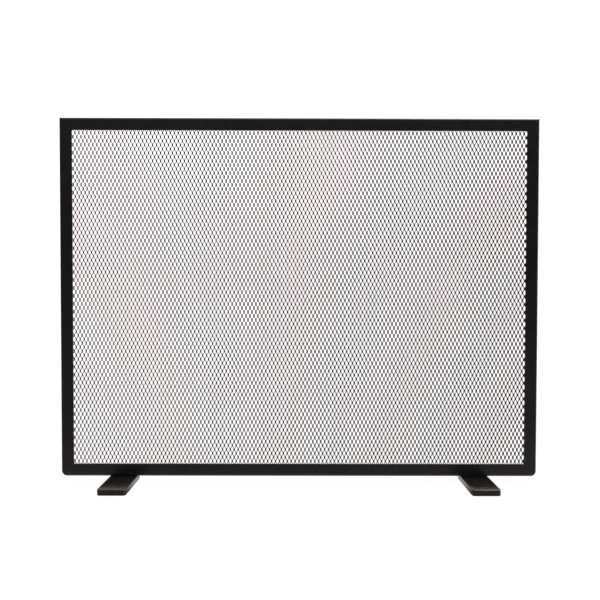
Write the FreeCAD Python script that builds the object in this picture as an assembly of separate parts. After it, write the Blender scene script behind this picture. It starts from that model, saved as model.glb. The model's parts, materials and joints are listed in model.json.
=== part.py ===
"""Flat fireplace screen: a welded frame of four folded steel angles, an expanded steel mesh
clamped behind the frame's front flange, and two flat-bar feet screwed on from below.

Frame of the model: millimetres, +Z up, +X along the screen's width, +Y towards the fire.
The origin is on the hearth, at the middle of the screen's width and of the feet's length.
Each function returns one sub-part, and each sub-part is written to parts/NODE.step.
"""

import FreeCAD, Part
import math
import os

from FreeCAD import Vector

# ---- Frame: four folded angles, mitred and welded ----
FRAME_WIDTH = 965.2          # 38 in
FRAME_HEIGHT = 723.9         # 28.5 in
ANGLE_LEG = 25.4             # both legs of the angle, 1 in
ANGLE_THICK = 3.0
BEND_OUTSIDE_R = 4.0
BEND_INSIDE_R = BEND_OUTSIDE_R - ANGLE_THICK
TOE_R = 0.5                  # the legs' sheared edges, eased
TOP_CORNER_R = 3.0           # radius that the mitred corners are ground to
BOTTOM_CORNER_R = 11.0       # these are filled with weld inside before they are ground

# ---- Feet: flat bars that run forward from under the frame, flush with its back ----
FOOT_LENGTH = 101.6          # 4 in, front to back
FOOT_WIDTH = 56.0
FOOT_THICK = 12.7            # 1/2 in
FOOT_CENTRE_X = 357.0
FOOT_CORNER_R = 6.0          # seen from above
FOOT_EDGE_R = 2.5

# ---- Mesh: expanded steel, 16 mm long way upright and 8 mm short way across ----
MESH_PITCH_X = 8.0
MESH_PITCH_Z = 16.0
MESH_THICK = 2.4             # over the leaning knots, not the 0.6 mm strand
MESH_INSET = 5.0             # from the frame's outside to the sheet's edge
MESH_CORNER_R = 3.0          # the sheet's lower corners, cut to clear the weld inside the frame's

# ---- Retainer strips, clamped over weld studs with nuts ----
STRIP_WIDTH = 16.0
STRIP_THICK = 2.5
STRIP_INSET = 6.0            # from the frame's outside to the strip's outer edge
STRIP_END_GAP = 1.0          # between an upright strip and a level one
STRIP_HOLE_D = 4.6

STUD_D = 4.0
STUD_LENGTH = 10.0
STUD_TIP_CHAMFER = 0.5
STUD_INSET = STRIP_INSET + STRIP_WIDTH / 2
RAIL_STUD_PITCH = 20 * MESH_PITCH_X
RAIL_STUDS = 6
STILE_STUD_PITCH = 11 * MESH_PITCH_Z
STILE_STUDS = 4
STILE_STUD_SHIFT = -MESH_PITCH_Z / 4   # brings the stile studs into the mesh's openings

STUD_NUT_FLATS = 7.0
STUD_NUT_HEIGHT = 3.2
STUD_NUT_BORE = 4.2

# ---- Foot fasteners: M6 countersunk screws from below, with washers and nuts above ----
SCREW_D = 6.0
SCREW_HOLE_D = 6.6
SCREW_PITCH_X = 30.0
SCREW_SETBACK = 15.0         # from the frame's front to the screws
SCREW_LENGTH = 25.0
SCREW_HEAD_D = 12.0
SCREW_SINK = 0.5             # how far the head lies inside the foot's underside
SCREW_SOCKET_FLATS = 4.0
SCREW_SOCKET_DEPTH = 2.2
COUNTERSINK_D = 13.2
WASHER_D = 12.0
WASHER_BORE = 6.4
WASHER_THICK = 1.6
FOOT_NUT_FLATS = 10.0
FOOT_NUT_HEIGHT = 5.0
FOOT_NUT_BORE = 6.2

# ---- Places worked out from the sizes above ----
FRAME_FRONT_Y = FOOT_LENGTH / 2 - ANGLE_LEG
FLANGE_BACK_Y = FRAME_FRONT_Y + ANGLE_THICK
MESH_BACK_Y = FLANGE_BACK_Y + MESH_THICK
STRIP_BACK_Y = MESH_BACK_Y + STRIP_THICK
FRAME_BOTTOM_Z = FOOT_THICK
FRAME_TOP_Z = FRAME_BOTTOM_Z + FRAME_HEIGHT
FRAME_MID_Z = (FRAME_BOTTOM_Z + FRAME_TOP_Z) / 2
LEG_TOP_Z = FRAME_BOTTOM_Z + ANGLE_THICK
SCREW_Y = FRAME_FRONT_Y + SCREW_SETBACK

X_AXIS = Vector(1, 0, 0)
Y_AXIS = Vector(0, 1, 0)
Z_AXIS = Vector(0, 0, 1)


# ---- Helpers ----
def polygon_prism(points, direction):
    """A flat polygon swept along a vector."""
    wire = Part.makePolygon(list(points) + [points[0]])
    return Part.Face(wire).extrude(direction)


def edges_along(shape, direction):
    """The straight edges of a shape that run along a direction."""
    found = []
    for edge in shape.Edges:
        along = edge.Vertexes[-1].Point - edge.Vertexes[0].Point
        if along.Length > 1e-6 and abs(along.dot(direction)) > 0.999 * along.Length:
            found.append(edge)
    return found


def cylinder(diameter, height, base, direction=Z_AXIS):
    return Part.makeCylinder(diameter / 2, height, base, direction)


def hex_prism(flats, height):
    """A hexagonal prism on the XY plane, with two corners on the X axis."""
    corner_r = flats / math.sqrt(3)
    corners = [Vector(corner_r * math.cos(math.radians(60 * k)),
                      corner_r * math.sin(math.radians(60 * k)), 0) for k in range(6)]
    return polygon_prism(corners, Vector(0, 0, height))


def hex_nut(flats, height, bore):
    """A nut standing on the XY plane, its corners chamfered at 30 degrees at both ends."""
    corner_r = flats / math.sqrt(3)
    flat_r = 0.475 * flats
    drop = (corner_r - flat_r) * math.tan(math.radians(30))
    outline = [Vector(0, 0, 0), Vector(flat_r, 0, 0), Vector(corner_r, 0, drop),
               Vector(corner_r, 0, height - drop), Vector(flat_r, 0, height), Vector(0, 0, height)]
    barrel = Part.Face(Part.makePolygon(outline + [outline[0]])).revolve(Vector(), Z_AXIS, 360)
    hole = cylinder(bore, height + 2, Vector(0, 0, -1))
    return hex_prism(flats, height).common(barrel).cut(hole)


def placed(shape, position, facing=Z_AXIS):
    """A copy whose +Z axis points along facing, with its origin at position."""
    copy = shape.copy()
    copy.Placement = FreeCAD.Placement(position, FreeCAD.Rotation(Z_AXIS, facing))
    return copy


def group(shapes):
    return shapes[0] if len(shapes) == 1 else Part.makeCompound(shapes)


# ---- Frame ----
def rounded_wire(corners):
    """A closed wire through right-angled corners, each a point and the radius that rounds it."""
    starts, arcs, ends = [], [], []
    for k, (corner, radius) in enumerate(corners):
        back = (corners[k - 1][0] - corner).normalize()
        ahead = (corners[(k + 1) % len(corners)][0] - corner).normalize()
        start = corner + back * radius
        end = corner + ahead * radius
        middle = corner + (back + ahead) * (radius * (1 - math.sqrt(0.5)))
        starts.append(start)
        ends.append(end)
        arcs.append(Part.Arc(start, middle, end).toShape())
    edges = []
    for k, arc in enumerate(arcs):
        edges.append(arc)
        edges.append(Part.makeLine(ends[k], starts[(k + 1) % len(starts)]))
    return Part.Wire(edges)


def mitre_prism(length):
    """The space between a side's two mitres, its outer edge on the line z = 0 and y = 0."""
    half = length / 2
    corners = [Vector(-half, -1, 0), Vector(half, -1, 0),
               Vector(half - ANGLE_LEG, -1, -ANGLE_LEG), Vector(ANGLE_LEG - half, -1, -ANGLE_LEG)]
    return polygon_prism(corners, Vector(0, ANGLE_LEG + 2, 0))


def angle_bar(length):
    """A mitred angle along X. Its heel is at the top and front, on the lines z = 0 and y = 0."""
    half = length / 2

    def corner(y, drop, radius):
        return Vector(-half, y, -drop), radius

    section = rounded_wire([
        corner(0, 0, BEND_OUTSIDE_R),
        corner(ANGLE_LEG, 0, TOE_R),
        corner(ANGLE_LEG, ANGLE_THICK, TOE_R),
        corner(ANGLE_THICK, ANGLE_THICK, BEND_INSIDE_R),
        corner(ANGLE_THICK, ANGLE_LEG, TOE_R),
        corner(0, ANGLE_LEG, TOE_R),
    ])
    bar = Part.Face(section).extrude(Vector(length, 0, 0))
    return bar.common(mitre_prism(length))


def frame_outline():
    """The frame's outside as a block. The bend in its front edge runs on round the lower corners."""
    block = Part.makeBox(FRAME_WIDTH, ANGLE_LEG, FRAME_HEIGHT,
                         Vector(-FRAME_WIDTH / 2, FRAME_FRONT_Y, FRAME_BOTTOM_Z))
    corners = edges_along(block, Y_AXIS)
    top = block.makeFillet(TOP_CORNER_R, [e for e in corners if e.Vertexes[0].Z > FRAME_MID_Z])
    bottom = block.makeFillet(BOTTOM_CORNER_R,
                              [e for e in corners if e.Vertexes[0].Z < FRAME_MID_Z])
    front = [e for e in bottom.Edges if e.BoundBox.YMax < FRAME_FRONT_Y + 1e-6]
    return top.common(bottom.makeFillet(BEND_OUTSIDE_R, front))


def lower_corner_weld(side):
    """Weld metal inside a lower corner, which keeps the wall there as thick as the angle."""
    size = BOTTOM_CORNER_R - ANGLE_THICK
    corner_x = side * (FRAME_WIDTH / 2 - ANGLE_THICK) - (size if side > 0 else 0)
    fill = Part.makeBox(size, ANGLE_LEG - ANGLE_THICK, size,
                        Vector(corner_x, FLANGE_BACK_Y, LEG_TOP_Z))
    centre = Vector(side * (FRAME_WIDTH / 2 - BOTTOM_CORNER_R), FLANGE_BACK_Y - 1,
                    FRAME_BOTTOM_Z + BOTTOM_CORNER_R)
    return fill.cut(cylinder(2 * size, ANGLE_LEG, centre, Y_AXIS))


def frame_side(length, turn, outer_point):
    """One angle of the frame, turned about Y and moved so that its heel's middle is at outer_point."""
    placement = FreeCAD.Placement(outer_point, FreeCAD.Rotation(Y_AXIS, turn))
    bar = angle_bar(length)
    bar.Placement = placement
    share = mitre_prism(length)
    share.Placement = placement
    for side in (-1, 1):
        weld = lower_corner_weld(side).common(share)
        if weld.Volume > 1:
            bar = bar.fuse(weld)
    return bar.common(frame_outline()).removeSplitter()


def top_rail():
    return frame_side(FRAME_WIDTH, 0, Vector(0, FRAME_FRONT_Y, FRAME_TOP_Z))


def bottom_rail():
    rail = frame_side(FRAME_WIDTH, 180, Vector(0, FRAME_FRONT_Y, FRAME_BOTTOM_Z))
    for side in (-1, 1):
        for x in foot_screw_xs(side):
            rail = rail.cut(cylinder(SCREW_HOLE_D, ANGLE_THICK + 2,
                                     Vector(x, SCREW_Y, FRAME_BOTTOM_Z - 1)))
    return rail


def left_stile():
    return frame_side(FRAME_HEIGHT, -90, Vector(-FRAME_WIDTH / 2, FRAME_FRONT_Y, FRAME_MID_Z))


def right_stile():
    return frame_side(FRAME_HEIGHT, 90, Vector(FRAME_WIDTH / 2, FRAME_FRONT_Y, FRAME_MID_Z))


# ---- Weld studs on the back of the flange ----
def evenly(count, pitch, shift=0.0):
    return [(k - (count - 1) / 2) * pitch + shift for k in range(count)]


def stud_places():
    """Node prefix to the studs' feet. The bottom studs are half a mesh opening off the top ones."""
    level = STUD_INSET
    side_x = FRAME_WIDTH / 2 - level
    top = [Vector(x, FLANGE_BACK_Y, FRAME_TOP_Z - level)
           for x in evenly(RAIL_STUDS, RAIL_STUD_PITCH)]
    bottom = [Vector(x + math.copysign(MESH_PITCH_X / 2, x), FLANGE_BACK_Y, FRAME_BOTTOM_Z + level)
              for x in evenly(RAIL_STUDS, RAIL_STUD_PITCH)]
    heights = evenly(STILE_STUDS, STILE_STUD_PITCH, FRAME_MID_Z + STILE_STUD_SHIFT)
    return {
        "top": top,
        "bottom": bottom,
        "left": [Vector(-side_x, FLANGE_BACK_Y, z) for z in heights],
        "right": [Vector(side_x, FLANGE_BACK_Y, z) for z in heights],
    }


def weld_studs(places):
    stud = cylinder(STUD_D, STUD_LENGTH, Vector())
    tip = [e for e in stud.Edges if e.BoundBox.ZMin > STUD_LENGTH - 1e-6]
    stud = stud.makeChamfer(STUD_TIP_CHAMFER, tip)
    return group([placed(stud, p, Y_AXIS) for p in places])


def stud_nuts(places):
    nut = hex_nut(STUD_NUT_FLATS, STUD_NUT_HEIGHT, STUD_NUT_BORE)
    return group([placed(nut, Vector(p.x, STRIP_BACK_Y, p.z), Y_AXIS) for p in places])


# ---- Mesh and its retainer strips ----
def drilled(plate, places, diameter):
    """The plate with a hole along Y for each stud that passes through it."""
    for p in places:
        plate = plate.cut(cylinder(diameter, ANGLE_LEG, Vector(p.x, FRAME_FRONT_Y, p.z), Y_AXIS))
    return plate


def mesh_panel():
    """The mesh as a closed sheet of its full thickness, cleared where the studs pass."""
    sheet = Part.makeBox(FRAME_WIDTH - 2 * MESH_INSET, MESH_THICK, FRAME_HEIGHT - 2 * MESH_INSET,
                         Vector(MESH_INSET - FRAME_WIDTH / 2, FLANGE_BACK_Y,
                                FRAME_BOTTOM_Z + MESH_INSET))
    lower = [e for e in edges_along(sheet, Y_AXIS) if e.Vertexes[0].Z < FRAME_MID_Z]
    sheet = sheet.makeFillet(MESH_CORNER_R, lower)
    every_stud = [p for side in stud_places().values() for p in side]
    return drilled(sheet, every_stud, STUD_D + 1)


def level_strip(bottom_z, places):
    length = FRAME_WIDTH - 2 * STRIP_INSET
    strip = Part.makeBox(length, STRIP_THICK, STRIP_WIDTH, Vector(-length / 2, MESH_BACK_Y, bottom_z))
    return drilled(strip, places, STRIP_HOLE_D)


def upright_strip(left_x, places):
    length = FRAME_HEIGHT - 2 * (STRIP_INSET + STRIP_WIDTH + STRIP_END_GAP)
    strip = Part.makeBox(STRIP_WIDTH, STRIP_THICK, length,
                         Vector(left_x, MESH_BACK_Y, FRAME_MID_Z - length / 2))
    return drilled(strip, places, STRIP_HOLE_D)


# ---- Feet and their fasteners ----
def foot_screw_xs(side):
    return [side * FOOT_CENTRE_X + dx for dx in (-SCREW_PITCH_X / 2, SCREW_PITCH_X / 2)]


def foot(side):
    """A flat bar with eased edges, and two countersunk holes near its back end."""
    bar = Part.makeBox(FOOT_WIDTH, FOOT_LENGTH, FOOT_THICK,
                       Vector(side * FOOT_CENTRE_X - FOOT_WIDTH / 2, -FOOT_LENGTH / 2, 0))
    bar = bar.makeFillet(FOOT_CORNER_R, edges_along(bar, Z_AXIS))
    rims = [e for e in bar.Edges if e.BoundBox.ZLength < 1e-6]
    bar = bar.makeFillet(FOOT_EDGE_R, rims)
    sink_depth = (COUNTERSINK_D - SCREW_HOLE_D) / 2
    for x in foot_screw_xs(side):
        bar = bar.cut(cylinder(SCREW_HOLE_D, FOOT_THICK + 2, Vector(x, SCREW_Y, -1)))
        bar = bar.cut(Part.makeCone(COUNTERSINK_D / 2, SCREW_HOLE_D / 2, sink_depth,
                                    Vector(x, SCREW_Y, 0)))
    return bar


def countersunk_screw():
    """A flat-head screw pointing up, the face of its head on the XY plane, with a hex socket."""
    head_height = (SCREW_HEAD_D - SCREW_D) / 2
    head = Part.makeCone(SCREW_HEAD_D / 2, SCREW_D / 2, head_height)
    shank = cylinder(SCREW_D, SCREW_LENGTH - head_height, Vector(0, 0, head_height))
    tip = [e for e in shank.Edges if e.BoundBox.ZMin > SCREW_LENGTH - 1e-6]
    screw = head.fuse(shank.makeChamfer(STUD_TIP_CHAMFER, tip)).removeSplitter()
    return screw.cut(hex_prism(SCREW_SOCKET_FLATS, SCREW_SOCKET_DEPTH))


def foot_screws(side):
    return group([placed(countersunk_screw(), Vector(x, SCREW_Y, SCREW_SINK))
                  for x in foot_screw_xs(side)])


def foot_washers(side):
    washer = cylinder(WASHER_D, WASHER_THICK, Vector()).cut(
        cylinder(WASHER_BORE, WASHER_THICK + 2, Vector(0, 0, -1)))
    return group([placed(washer, Vector(x, SCREW_Y, LEG_TOP_Z)) for x in foot_screw_xs(side)])


def foot_nuts(side):
    nut = hex_nut(FOOT_NUT_FLATS, FOOT_NUT_HEIGHT, FOOT_NUT_BORE)
    return group([placed(nut, Vector(x, SCREW_Y, LEG_TOP_Z + WASHER_THICK))
                  for x in foot_screw_xs(side)])


# ---- All sub-parts ----
def all_parts():
    studs = stud_places()
    strip_x = FRAME_WIDTH / 2 - STRIP_INSET
    parts = {
        "top_rail": top_rail(),
        "bottom_rail": bottom_rail(),
        "left_stile": left_stile(),
        "right_stile": right_stile(),
        "mesh_panel": mesh_panel(),
        "top_retainer_strip": level_strip(FRAME_TOP_Z - STRIP_INSET - STRIP_WIDTH, studs["top"]),
        "bottom_retainer_strip": level_strip(FRAME_BOTTOM_Z + STRIP_INSET, studs["bottom"]),
        "left_retainer_strip": upright_strip(-strip_x, studs["left"]),
        "right_retainer_strip": upright_strip(strip_x - STRIP_WIDTH, studs["right"]),
    }
    for name, places in studs.items():
        parts[name + "_weld_studs"] = weld_studs(places)
        parts[name + "_stud_nuts"] = stud_nuts(places)
    for name, side in (("left", -1), ("right", 1)):
        parts[name + "_foot"] = foot(side)
        parts[name + "_foot_screws"] = foot_screws(side)
        parts[name + "_foot_washers"] = foot_washers(side)
        parts[name + "_foot_nuts"] = foot_nuts(side)
    return parts


def main():
    os.makedirs("parts", exist_ok=True)
    for name, shape in all_parts().items():
        shape.exportStep(os.path.join("parts", name + ".step"))


main()
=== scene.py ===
"""Looks of the fireplace screen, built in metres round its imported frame.

The mesh is modelled as real expanded steel in place of the closed sheet that CAD holds, and the
studs and foot screws with their threads. Weld beads are added inside the top corners. Every other
node keeps its CAD shape and gets a painted or plated finish.
"""
import json
import math

import bmesh
import bpy
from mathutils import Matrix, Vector


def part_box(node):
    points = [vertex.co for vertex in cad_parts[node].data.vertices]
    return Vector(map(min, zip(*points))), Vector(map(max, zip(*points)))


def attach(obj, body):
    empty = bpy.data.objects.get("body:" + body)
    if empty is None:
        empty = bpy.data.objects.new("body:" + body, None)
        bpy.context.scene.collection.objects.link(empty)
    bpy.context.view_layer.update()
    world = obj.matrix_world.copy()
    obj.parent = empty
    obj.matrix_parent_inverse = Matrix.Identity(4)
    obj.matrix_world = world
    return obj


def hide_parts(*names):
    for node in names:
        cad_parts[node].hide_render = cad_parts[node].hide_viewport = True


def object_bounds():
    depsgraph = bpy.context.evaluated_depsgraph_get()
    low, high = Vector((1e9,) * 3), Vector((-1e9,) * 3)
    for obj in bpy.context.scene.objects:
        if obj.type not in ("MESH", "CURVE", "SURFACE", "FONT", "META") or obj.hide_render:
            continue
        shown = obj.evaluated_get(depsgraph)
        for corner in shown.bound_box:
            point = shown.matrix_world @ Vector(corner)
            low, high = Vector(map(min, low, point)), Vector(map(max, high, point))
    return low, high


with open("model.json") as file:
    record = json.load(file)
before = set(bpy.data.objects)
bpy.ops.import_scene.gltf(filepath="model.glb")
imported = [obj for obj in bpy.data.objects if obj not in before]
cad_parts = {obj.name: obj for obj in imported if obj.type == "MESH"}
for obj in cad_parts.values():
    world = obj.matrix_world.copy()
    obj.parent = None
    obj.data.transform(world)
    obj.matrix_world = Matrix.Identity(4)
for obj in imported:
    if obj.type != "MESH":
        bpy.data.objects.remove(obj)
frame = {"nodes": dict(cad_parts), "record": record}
cad_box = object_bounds()
NODES = frame["nodes"]

# ---- Expanded mesh, in metres ----
PITCH_X = 0.008              # short way of an opening, across
PITCH_Z = 0.016              # long way of an opening, upright
STRAND_WIDTH = 0.00172
STRAND_THICK = 0.0006
KNOT_LENGTH = 0.0044
TILT = math.radians(29)      # how far the knots lean out of the sheet's plane
LATTICE_SHIFT_Z = PITCH_Z / 4

# ---- Threads, in metres ----
SEGMENTS = 24                # sides of a turned shape
ROWS_PER_TURN = 6
STUD_THREAD = 0.0007         # pitch of an M4 thread
SCREW_THREAD = 0.001         # pitch of an M6 thread
THREAD_DEPTH = 0.61          # over the pitch
CREST_SHARE = 0.125          # flat part of the crest
TIP_CHAMFER = 0.0005
SCREW_HEAD_D = 0.012
SCREW_SHANK_D = 0.006
SOCKET_FLATS = 0.004
SOCKET_DEPTH = 0.0022
FASTENER_GAP = 0.01          # fasteners in one node are further apart than this

# ---- Weld beads inside the top corners ----
ANGLE_THICK = 0.003
BEAD_LEG = 0.0038
BEAD_BULGE = 0.58            # share of the leg, both ways, that the bead's middle reaches
BEAD_RIPPLE = 0.0004         # how far the ripples stand out
RIPPLE_PITCH = 0.0018
BEAD_STEP = 0.0003
BEAD_CLEAR = 0.0006          # from the strips in front and from the angle's edge behind

# ---- Paint and plate: scales are per metre, and ranges are where a ramp over noise runs ----
CLOUD_SCALE = 14.0           # slow drifts in colour
CLOUD_RANGE = (0.35, 0.68)
PATCH_SCALE = 60.0           # patches of smoother and rougher paint
PATCH_RANGE = (0.3, 0.7)
PEEL_SCALE = 900.0           # grain of the orange peel
PEEL_HEIGHT = 0.00004
PEEL_STRENGTH = 0.6
WEAR_HIGHLIGHT_SCALE = 45.0            # patches where edges show wear from rubbing and a painted highlight
WEAR_HIGHLIGHT_RANGE = (0.36, 0.58)
WEAR_HIGHLIGHT_TURN = (0.98, 0.6)      # flatness at which the wear and painted edge highlight start, and at which they are full
PLATE_SCALE = 350.0          # patches in the zinc

# ---- Camera and studio ----
CAMERA_DISTANCE = 1.147      # in front of the frame
CAMERA_SIDE = -0.0014
CAMERA_HEIGHT = 0.3965
CAMERA_PITCH = 0.02205
CAMERA_YAW = -0.00224
CAMERA_ROLL = -0.00195
FOCAL_SHARE = 568.6 / 600    # focal length over the picture's width
SENSOR = 36.0
FLOOR_HALF = 12.0            # half the floor's side
FLOOR_SHADE = 0.85
WHITE_TINT = (1.055, 1.0, 1.007)     # of the overexposed floor and wall behind the mesh
FLOOR_WHITE = 1.015          # as the camera sees it near the screen
HORIZON_WHITE = 1.05
WALL_WHITE = 1.2
SWEEP_GLOW = 1.0             # the lit floor behind the screen, as paint reflects it
FLOOR_BOUNCE = (0.27, 0.25, 0.23)   # the floor's dimmer shade as the object's paint reflects it
FLOOR_BOUNCE_AWAY = (0.155, 0.145, 0.14)    # the same, half a metre in front and further
FLOOR_GLOW = 0.94            # share of the floor's white that shadows don't take away
FAR_FLOOR = (0.4, 3.0)       # behind the screen, where the floor's white rises to the horizon's
NEAR_FLOOR = (-0.5, -0.05)   # in front, where its bounce rises to FLOOR_BOUNCE
SWEEP_START = (-0.035, 0.03)     # across the feet, where the bounce gives way to the lit sweep
HORIZON_BAND = (0.0, 0.3)    # up from the horizon, as the height of a direction
LIGHTING = (                 # axis of a direction, its start and end, and the light at each
    ("Z", 0.2, 0.9, 0.0, 1.7),       # bright overhead
    ("Y", -0.2, 0.6, 0.12, 1.0),     # dim in front and bright behind
    ("X", 0.5, 0.95, 0.0, 1.2),      # bright far to the right
    ("X", -0.4, 0.4, 0.03, -0.045),  # a little brighter left of the middle than right of it
)
SOFTBOXES = (                # name, place, the point it faces, side and power
    ("overhead_softbox", (1.0, 0.0, 2.3), (0, 0, 0.3), 1.1, 26),
    ("right_softbox", (2.6, 0.3, 0.9), (0, 0, 0.4), 1.2, 9),
)


# ---- Materials ----
def new_material(name):
    material = bpy.data.materials.new(name)
    material.use_nodes = True
    material.node_tree.nodes.clear()
    return material, material.node_tree


def link_nodes(tree, source, out, target, into):
    tree.links.new(source.outputs[out], target.inputs[into])


def noise(tree, scale, detail=4.0, rough=0.55):
    coords = tree.nodes.new("ShaderNodeTexCoord")
    node = tree.nodes.new("ShaderNodeTexNoise")
    node.inputs["Scale"].default_value = scale
    node.inputs["Detail"].default_value = detail
    node.inputs["Roughness"].default_value = rough
    link_nodes(tree, coords, "Object", node, "Vector")
    return node


def ramp(tree, source, out, low, high, dark, light):
    node = tree.nodes.new("ShaderNodeValToRGB")
    node.color_ramp.elements[0].position = low
    node.color_ramp.elements[1].position = high
    node.color_ramp.elements[0].color = (*dark, 1)
    node.color_ramp.elements[1].color = (*light, 1)
    link_nodes(tree, source, out, node, "Fac")
    return node


def grey(value):
    return (value, value, value)


def slope(tree, coordinates, axis, start, end, low, high):
    """A value that goes smoothly from low to high as one coordinate goes from start to end."""
    coords = tree.nodes.new("ShaderNodeTexCoord")
    split = tree.nodes.new("ShaderNodeSeparateXYZ")
    link_nodes(tree, coords, coordinates, split, "Vector")
    node = tree.nodes.new("ShaderNodeMapRange")
    node.interpolation_type = "SMOOTHSTEP"
    node.inputs["From Min"].default_value = start
    node.inputs["From Max"].default_value = end
    node.inputs["To Min"].default_value = low
    node.inputs["To Max"].default_value = high
    link_nodes(tree, split, axis, node, "Value")
    return node


def edge_wear_and_highlight(tree):
    """Mask of wear and painted highlight: 0 on a square face, up to 1 in patches where an edge or bend
    turns from one face to the next.
    """
    coords = tree.nodes.new("ShaderNodeTexCoord")
    squares = tree.nodes.new("ShaderNodeVectorMath")
    squares.operation = "MULTIPLY"
    link_nodes(tree, coords, "Normal", squares, 0)
    link_nodes(tree, coords, "Normal", squares, 1)
    flatness = tree.nodes.new("ShaderNodeVectorMath")
    flatness.operation = "DOT_PRODUCT"
    link_nodes(tree, squares, "Vector", flatness, 0)
    link_nodes(tree, squares, "Vector", flatness, 1)
    turn = tree.nodes.new("ShaderNodeMapRange")
    turn.inputs["From Min"].default_value = WEAR_HIGHLIGHT_TURN[0]
    turn.inputs["From Max"].default_value = WEAR_HIGHLIGHT_TURN[1]
    link_nodes(tree, flatness, "Value", turn, "Value")
    patches = tree.nodes.new("ShaderNodeMapRange")
    patches.inputs["From Min"].default_value = WEAR_HIGHLIGHT_RANGE[0]
    patches.inputs["From Max"].default_value = WEAR_HIGHLIGHT_RANGE[1]
    link_nodes(tree, noise(tree, WEAR_HIGHLIGHT_SCALE, 6.0, 0.65), "Fac", patches, "Value")
    wear_and_highlight = tree.nodes.new("ShaderNodeMath")
    wear_and_highlight.operation = "MULTIPLY"
    link_nodes(tree, turn, "Result", wear_and_highlight, 0)
    link_nodes(tree, patches, "Result", wear_and_highlight, 1)
    return wear_and_highlight


def painted(name, dark, light, rough_low, rough_high, wear_and_highlight=None):
    """Satin paint: a fine orange-peel bump, drifts in colour and roughness, and, with an edge colour
    given, edges lighter from rubbing wear and a painted highlight.
    """
    material, tree = new_material(name)
    out = tree.nodes.new("ShaderNodeOutputMaterial")
    shader = tree.nodes.new("ShaderNodeBsdfPrincipled")
    shader.inputs["Specular IOR Level"].default_value = 0.5
    colour = ramp(tree, noise(tree, CLOUD_SCALE), "Fac", *CLOUD_RANGE, dark, light)
    # edges and bends take the lighter colour: partly wear from rubbing, partly a painted highlight
    if wear_and_highlight:
        rubbed_and_highlit = tree.nodes.new("ShaderNodeMix")
        rubbed_and_highlit.data_type = "RGBA"
        rubbed_and_highlit.inputs["B"].default_value = (*wear_and_highlight, 1)
        link_nodes(tree, edge_wear_and_highlight(tree), "Value", rubbed_and_highlit, "Factor")
        link_nodes(tree, colour, "Color", rubbed_and_highlit, "A")
        link_nodes(tree, rubbed_and_highlit, "Result", shader, "Base Color")
    else:
        link_nodes(tree, colour, "Color", shader, "Base Color")
    patches = noise(tree, PATCH_SCALE, 5.0)
    rough = ramp(tree, patches, "Fac", *PATCH_RANGE, grey(rough_low), grey(rough_high))
    link_nodes(tree, rough, "Color", shader, "Roughness")
    peel = noise(tree, PEEL_SCALE, 2.0)
    bumps = tree.nodes.new("ShaderNodeBump")
    bumps.inputs["Strength"].default_value = PEEL_STRENGTH
    bumps.inputs["Distance"].default_value = PEEL_HEIGHT
    link_nodes(tree, peel, "Fac", bumps, "Height")
    link_nodes(tree, bumps, "Normal", shader, "Normal")
    link_nodes(tree, shader, "BSDF", out, "Surface")
    return material


def plated(name):
    """Dull zinc plate, with small brighter and darker patches."""
    material, tree = new_material(name)
    out = tree.nodes.new("ShaderNodeOutputMaterial")
    shader = tree.nodes.new("ShaderNodeBsdfPrincipled")
    shader.inputs["Metallic"].default_value = 1.0
    patches = noise(tree, PLATE_SCALE, 5.0)
    colour = ramp(tree, patches, "Fac", *PATCH_RANGE, (0.34, 0.34, 0.33), (0.52, 0.52, 0.54))
    link_nodes(tree, colour, "Color", shader, "Base Color")
    rough = ramp(tree, patches, "Fac", *PATCH_RANGE, grey(0.32), grey(0.5))
    link_nodes(tree, rough, "Color", shader, "Roughness")
    link_nodes(tree, shader, "BSDF", out, "Surface")
    return material


# the last colour lightens edges and bends: partly wear from rubbing, partly a painted highlight
FRAME_PAINT = painted("satin_black_frame", (0.004, 0.004, 0.004), (0.006, 0.006, 0.006), 0.24, 0.33,
                      wear_and_highlight=(0.020, 0.019, 0.018))
FOOT_PAINT = painted("satin_black_foot", (0.0085, 0.0062, 0.0046), (0.0125, 0.0092, 0.0068), 0.15, 0.23,
                     wear_and_highlight=(0.060, 0.056, 0.048))
MESH_PAINT = painted("satin_black_mesh", (0.007, 0.006, 0.0063), (0.012, 0.010, 0.0106), 0.34, 0.48)
STRIP_PAINT = painted("satin_black_strip", (0.005, 0.005, 0.005), (0.009, 0.009, 0.009), 0.4, 0.52)
ZINC = plated("zinc_plate")
FINISH = {"frame_paint": FRAME_PAINT, "foot_paint": FOOT_PAINT, "mesh_paint": MESH_PAINT,
          "strip_paint": STRIP_PAINT, "fastener_steel": ZINC}


def finish_cad_nodes():
    slots = {s["node"]: s["material_slot"] for s in frame["record"]["subparts"]}
    for name, node in NODES.items():
        for material_slot in node.material_slots:
            material_slot.link = "OBJECT"
            material_slot.material = FINISH[slots[name]]


def finish_piece(grid, name, node, material):
    bmesh.ops.recalc_face_normals(grid, faces=grid.faces)
    data = bpy.data.meshes.new(name)
    grid.to_mesh(data)
    grid.free()
    data.materials.append(material)
    piece = bpy.data.objects.new(name, data)
    bpy.context.collection.objects.link(piece)
    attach(piece, "root")
    if node:
        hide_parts(node)


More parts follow.
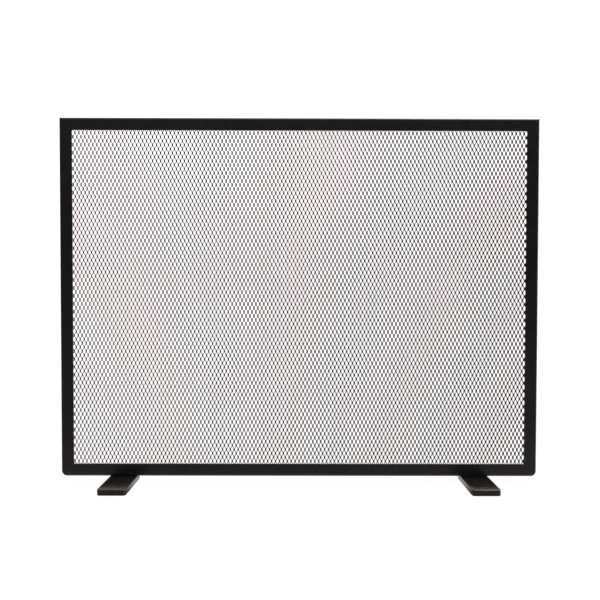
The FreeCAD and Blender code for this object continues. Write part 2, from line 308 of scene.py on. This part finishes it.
# ---- Expanded mesh ----
def build_mesh():
    """The sheet as a lattice of leaning knots joined by strands, as slitting and stretching make it."""
    low, high = (Vector(corner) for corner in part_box("mesh_panel"))
    middle = (low + high) / 2
    half_x, half_z = PITCH_X / 2, PITCH_Z / 2
    columns = int((high.x - low.x - 2 * STRAND_WIDTH) / half_x / 2)
    rows = int((high.z - low.z - KNOT_LENGTH) / half_z / 2)
    across = Vector((math.cos(TILT), -math.sin(TILT), 0))
    outward = Vector((-math.sin(TILT), -math.cos(TILT), 0))
    grid = bmesh.new()

    def ring(centre, z):
        """Six corners across the two strands of a knot: the three front ones, then the three back."""
        return [grid.verts.new(centre + across * (k * STRAND_WIDTH) + outward * (side * STRAND_THICK / 2)
                               + Vector((0, 0, z)))
                for side in (1, -1) for k in (-1, 0, 1)]

    def tube(a, b):
        """Four faces between two four-cornered sections."""
        for k in range(4):
            grid.faces.new((a[k], a[(k + 1) % 4], b[(k + 1) % 4], b[k]))

    knots = {}
    for column in range(-columns, columns + 1):
        for row in range(-rows, rows + 1):
            if (column + row) % 2:
                continue
            centre = Vector((middle.x + column * half_x, middle.y,
                             middle.z + LATTICE_SHIFT_Z + row * half_z))
            if abs(centre.z - middle.z) + KNOT_LENGTH / 2 > (high.z - low.z) / 2:
                continue
            knots[column, row] = (ring(centre, -KNOT_LENGTH / 2), ring(centre, KNOT_LENGTH / 2))

    def half(section, side):
        """The four corners of a knot's left (-1) or right (1) strand, in order round it."""
        k = 0 if side < 0 else 1
        return [section[k], section[k + 1], section[k + 4], section[k + 3]]

    for (column, row), (bottom, top) in knots.items():
        around = [bottom[0], bottom[1], bottom[2], bottom[5], bottom[4], bottom[3]]
        above = [top[0], top[1], top[2], top[5], top[4], top[3]]
        for k in range(6):
            grid.faces.new((around[k], around[(k + 1) % 6], above[(k + 1) % 6], above[k]))
        for side in (-1, 1):
            upper = knots.get((column + side, row + 1))
            if upper:
                tube(half(top, side), half(upper[0], -side))
            else:
                grid.faces.new(half(top, side))
            if (column + side, row - 1) not in knots:
                grid.faces.new(half(bottom, side))
    finish_piece(grid, "expanded_mesh", "mesh_panel", MESH_PAINT)


# ---- Studs and screws with their threads ----
def thread_rings(start, end, diameter, pitch):
    """Rings of radii up a threaded shank, chamfered at its tip."""
    rows = round((end - start) / pitch * ROWS_PER_TURN)
    rings = []
    for row in range(rows + 1):
        height = start + (end - start) * row / rows
        widest = min(diameter / 2, diameter / 2 - TIP_CHAMFER + end - height)
        radii = []
        for k in range(SEGMENTS):
            phase = (height / pitch - k / SEGMENTS) % 1
            drop = max(0, abs(2 * phase - 1) - CREST_SHARE) / (1 - CREST_SHARE)
            radii.append(min(widest, diameter / 2 - drop * THREAD_DEPTH * pitch))
        rings.append((height, radii))
    return rings


def socket_radii():
    """Radii round the hex socket, with corners at every sixth of a turn."""
    radii = []
    for k in range(SEGMENTS):
        from_flat = math.radians(360 * k / SEGMENTS % 60 - 30)
        radii.append(SOCKET_FLATS / 2 / math.cos(from_flat))
    return radii


def turned(grid, rings, base, facing):
    """A closed solid through rings of radii, from the first to the last, standing on base."""
    spin = facing.to_track_quat("Z", "Y")
    loops = []
    for height, radii in rings:
        loop = []
        for k, radius in enumerate(radii):
            angle = 2 * math.pi * k / SEGMENTS
            corner = Vector((radius * math.cos(angle), radius * math.sin(angle), height))
            loop.append(grid.verts.new(base + spin @ corner))
        loops.append(loop)
    for here, ahead in zip(loops, loops[1:]):
        for k in range(SEGMENTS):
            after = (k + 1) % SEGMENTS
            grid.faces.new((here[k], here[after], ahead[after], ahead[k]))
    grid.faces.new(loops[0])
    grid.faces.new(loops[-1])


def fastener_centres(node, axis):
    """Middles of a node's separate fasteners along one axis, found from the gaps between them."""
    solid = NODES[node]
    places = sorted((solid.matrix_world @ v.co)[axis] for v in solid.data.vertices)
    starts = [places[0]]
    ends = []
    for before, after in zip(places, places[1:]):
        if after - before > FASTENER_GAP:
            ends.append(before)
            starts.append(after)
    ends.append(places[-1])
    return [(a + b) / 2 for a, b in zip(starts, ends)]


def build_studs():
    for side, axis in (("top", 0), ("bottom", 0), ("left", 2), ("right", 2)):
        node = side + "_weld_studs"
        low, high = (Vector(corner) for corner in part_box(node))
        grid = bmesh.new()
        rings = thread_rings(0, high.y - low.y, high.z - low.z if axis == 0 else high.x - low.x,
                             STUD_THREAD)
        for centre in fastener_centres(node, axis):
            base = (low + high) / 2
            base.y = low.y
            base[axis] = centre
            turned(grid, rings, base, Vector((0, 1, 0)))
        finish_piece(grid, side + "_threaded_studs", node, ZINC)


def build_foot_screws():
    head_height = (SCREW_HEAD_D - SCREW_SHANK_D) / 2
    for side in ("left", "right"):
        node = side + "_foot_screws"
        low, high = (Vector(corner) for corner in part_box(node))
        rings = [(SOCKET_DEPTH, socket_radii()), (0, socket_radii()),
                 (0, [SCREW_HEAD_D / 2] * SEGMENTS), (head_height, [SCREW_SHANK_D / 2] * SEGMENTS)]
        rings += thread_rings(head_height + SCREW_THREAD, high.z - low.z, SCREW_SHANK_D, SCREW_THREAD)
        grid = bmesh.new()
        for centre in fastener_centres(node, 0):
            turned(grid, rings, Vector((centre, (low.y + high.y) / 2, low.z)), Vector((0, 0, 1)))
        finish_piece(grid, side + "_threaded_foot_screws", node, ZINC)


# ---- Weld beads ----
def build_corner_bead(side, name):
    """A rippled fillet weld along the inner corner of a top mitre, behind the strips."""
    corner_x = side * (cad_box[1][0] - ANGLE_THICK)
    corner_z = cad_box[1][2] - ANGLE_THICK
    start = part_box("top_retainer_strip")[1][1] + BEAD_CLEAR
    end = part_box("top_rail")[1][1] - BEAD_CLEAR
    steps = round((end - start) / BEAD_STEP)
    grid = bmesh.new()
    loops = []
    for step in range(steps + 1):
        y = start + (end - start) * step / steps
        ripple = BEAD_RIPPLE * abs(math.sin(math.pi * (y - start) / RIPPLE_PITCH))
        leg = BEAD_LEG + ripple
        bulge = BEAD_BULGE * leg
        section = [(0, 0), (leg, 0), (bulge, bulge), (0, leg)]
        loops.append([grid.verts.new(Vector((corner_x - side * inward, y, corner_z - down)))
                      for inward, down in section])
    for here, ahead in zip(loops, loops[1:]):
        for k in range(4):
            after = (k + 1) % 4
            grid.faces.new((here[k], here[after], ahead[after], ahead[k]))
    grid.faces.new(loops[0])
    grid.faces.new(loops[-1])
    finish_piece(grid, name, None, FRAME_PAINT)


# ---- Studio ----
def build_floor():
    """White to the camera. As the paint reflects it, a dimmer floor in front and a lit sweep behind."""
    half = FLOOR_HALF
    data = bpy.data.meshes.new("floor")
    data.from_pydata([(-half, -half, 0), (half, -half, 0), (half, half, 0), (-half, half, 0)],
                     [], [(0, 1, 2, 3)])
    floor = bpy.data.objects.new("floor", data)
    bpy.context.collection.objects.link(floor)
    material, tree = new_material("pale_floor")
    out = tree.nodes.new("ShaderNodeOutputMaterial")
    seen = tree.nodes.new("ShaderNodeBsdfDiffuse")
    seen.inputs["Color"].default_value = (*grey(FLOOR_SHADE), 1)
    glow = tree.nodes.new("ShaderNodeEmission")
    glow.inputs["Color"].default_value = (*WHITE_TINT, 1)
    far = slope(tree, "Object", "Y", *FAR_FLOOR, FLOOR_WHITE, HORIZON_WHITE)
    link_nodes(tree, far, "Result", glow, "Strength")
    white = tree.nodes.new("ShaderNodeMixShader")
    white.inputs["Fac"].default_value = FLOOR_GLOW
    link_nodes(tree, seen, "BSDF", white, 1)
    link_nodes(tree, glow, "Emission", white, 2)
    bounce = tree.nodes.new("ShaderNodeBsdfDiffuse")
    near = slope(tree, "Object", "Y", *NEAR_FLOOR, 0.0, 1.0)
    shade = ramp(tree, near, "Result", 0.0, 1.0, FLOOR_BOUNCE_AWAY, FLOOR_BOUNCE)
    link_nodes(tree, shade, "Color", bounce, "Color")
    sweep = tree.nodes.new("ShaderNodeEmission")
    sweep.inputs["Color"].default_value = (*WHITE_TINT, 1)
    sweep.inputs["Strength"].default_value = SWEEP_GLOW
    behind = slope(tree, "Object", "Y", *SWEEP_START, 0.0, 1.0)
    reflected = tree.nodes.new("ShaderNodeMixShader")
    link_nodes(tree, behind, "Result", reflected, "Fac")
    link_nodes(tree, bounce, "BSDF", reflected, 1)
    link_nodes(tree, sweep, "Emission", reflected, 2)
    rays = tree.nodes.new("ShaderNodeLightPath")
    mix = tree.nodes.new("ShaderNodeMixShader")
    link_nodes(tree, rays, "Is Camera Ray", mix, "Fac")
    link_nodes(tree, reflected, "Shader", mix, 1)
    link_nodes(tree, white, "Shader", mix, 2)
    link_nodes(tree, mix, "Shader", out, "Surface")
    data.materials.append(material)


def area_light(name, place, aim, size, power):
    data = bpy.data.lights.new(name, "AREA")
    data.shape = "SQUARE"
    data.size = size
    data.energy = power
    light = bpy.data.objects.new(name, data)
    light.location = place
    light.rotation_euler = (Vector(aim) - Vector(place)).to_track_quat("-Z", "Y").to_euler()
    bpy.context.collection.objects.link(light)


def build_world():
    """White to the camera. As light it is the sum of the LIGHTING slopes."""
    world = bpy.data.worlds.new("studio")
    bpy.context.scene.world = world
    world.use_nodes = True
    tree = world.node_tree
    tree.nodes.clear()
    out = tree.nodes.new("ShaderNodeOutputWorld")
    parts = [slope(tree, "Generated", *part) for part in LIGHTING]
    total = parts[0]
    for part in parts[1:]:
        add = tree.nodes.new("ShaderNodeMath")
        add.operation = "ADD"
        link_nodes(tree, total, 0, add, 0)
        link_nodes(tree, part, 0, add, 1)
        total = add
    lighting = tree.nodes.new("ShaderNodeBackground")
    link_nodes(tree, total, 0, lighting, "Strength")
    seen = tree.nodes.new("ShaderNodeBackground")
    seen.inputs["Color"].default_value = (*WHITE_TINT, 1)
    wall = slope(tree, "Generated", "Z", *HORIZON_BAND, HORIZON_WHITE, WALL_WHITE)
    link_nodes(tree, wall, "Result", seen, "Strength")
    rays = tree.nodes.new("ShaderNodeLightPath")
    mix = tree.nodes.new("ShaderNodeMixShader")
    link_nodes(tree, rays, "Is Camera Ray", mix, "Fac")
    link_nodes(tree, lighting, "Background", mix, 1)
    link_nodes(tree, seen, "Background", mix, 2)
    link_nodes(tree, mix, "Shader", out, "Surface")


def build_camera():
    middle = (cad_box[0] + cad_box[1]) / 2
    frame_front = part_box("top_rail")[0]
    data = bpy.data.cameras.new("camera")
    data.sensor_width = SENSOR
    data.lens = SENSOR * FOCAL_SHARE
    camera = bpy.data.objects.new("camera", data)
    camera.location = (middle.x + CAMERA_SIDE, frame_front[1] - CAMERA_DISTANCE, CAMERA_HEIGHT)
    camera.rotation_euler = (math.radians(90) - CAMERA_PITCH, CAMERA_ROLL, CAMERA_YAW)
    bpy.context.collection.objects.link(camera)
    bpy.context.scene.camera = camera


finish_cad_nodes()
build_mesh()
build_studs()
build_foot_screws()
build_corner_bead(-1, "top_left_corner_bead")
build_corner_bead(1, "top_right_corner_bead")
build_floor()
build_world()
build_camera()
for softbox in SOFTBOXES:
    area_light(*softbox)
bpy.context.scene.view_settings.view_transform = "Standard"
